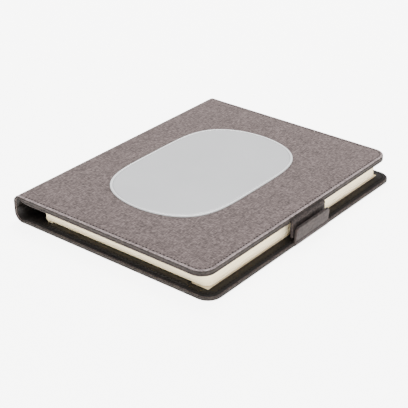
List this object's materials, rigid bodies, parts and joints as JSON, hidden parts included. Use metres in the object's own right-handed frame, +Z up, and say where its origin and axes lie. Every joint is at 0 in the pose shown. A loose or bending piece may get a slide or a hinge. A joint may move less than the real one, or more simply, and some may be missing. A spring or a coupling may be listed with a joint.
{
  "type": "wireless charging folio",
  "caption": "Fabric-covered A5 notebook folio, closed, with a rounded wireless charging pad set in its front cover and a magnetic two-tab closure at the fore-edge.",
  "frame": {"origin": "middle of the closed folio's footprint, on the surface that it lies on", "axes": "+X from the spine to the fore-edge, +Y along the spine, +Z up through the front cover"},
  "size_m": [0.1828, 0.225, 0.0222],
  "materials": {
    "woven_fabric": "plain-woven taupe melange polyester, matt",
    "charcoal_lining": "smooth coated lining, low sheen",
    "greyboard": "pressed grey board",
    "foam": "open-cell foam sheet",
    "cream_paper": "uncoated cream paper",
    "pale_plastic": "moulded ABS, fine matt texture",
    "bezel_plastic": "moulded ABS, satin",
    "black_plastic": "moulded black plastic",
    "steel": "plated steel",
    "copper": "enamelled copper wire",
    "ferrite": "sintered ferrite, matt",
    "circuit_green": "glass-fibre board with solder mask"
  },
  "bodies": {
    "back_cover": {"back_cover_fabric": "woven_fabric", "back_cover_board": "greyboard", "back_cover_lining": "charcoal_lining", "notebook_sleeve": "charcoal_lining"},
    "spine": {"spine_fabric": "woven_fabric", "spine_card": "greyboard", "spine_lining": "charcoal_lining"},
    "front_cover": {"front_cover_fabric": "woven_fabric", "front_cover_padding": "foam", "front_cover_board": "greyboard", "front_cover_lining": "charcoal_lining", "pad_bezel": "bezel_plastic", "pad_top_plate": "pale_plastic", "pad_base": "black_plastic", "pad_screw_1": "steel", "pad_screw_2": "steel", "pad_screw_3": "steel", "pad_screw_4": "steel", "ferrite_disc": "ferrite", "charging_coil": "copper", "circuit_board": "circuit_green", "control_chip": "black_plastic", "power_choke": "ferrite", "power_lead": "black_plastic", "power_socket": "steel", "socket_tongue": "black_plastic", "socket_surround": "black_plastic"},
    "front_tab": {"front_tab_fabric": "woven_fabric", "front_tab_plate": "steel"},
    "back_tab": {"back_tab_fabric": "woven_fabric", "back_tab_magnet": "steel"},
    "notebook": {"notebook_pages": "cream_paper", "notebook_cover": "cream_paper"}
  },
  "joints": [
    {"name": "spine_fold", "type": "hinge", "parent": "back_cover", "child": "spine", "pos_m": [-0.0839, 0, 0.0075], "axis": [0, -1, 0], "range_deg": [0, 90]},
    {"name": "front_cover_fold", "type": "hinge", "parent": "spine", "child": "front_cover", "pos_m": [-0.0859, 0, 0.0156], "axis": [0, -1, 0], "range_deg": [0, 88]},
    {"name": "front_tab_fold", "type": "hinge", "parent": "front_cover", "child": "front_tab", "pos_m": [0.0847, 0.0015, 0.0161], "axis": [0, 1, 0], "range_deg": [0, 18]},
    {"name": "back_tab_fold", "type": "hinge", "parent": "back_cover", "child": "back_tab", "pos_m": [0.0891, 0.0015, 0.0011], "axis": [0, 1, 0], "range_deg": [0, 85]},
    {"name": "notebook_slide", "type": "slide", "parent": "back_cover", "child": "notebook", "axis": [-1, 0, 0], "range_m": [0, 0.008]}
  ]
}
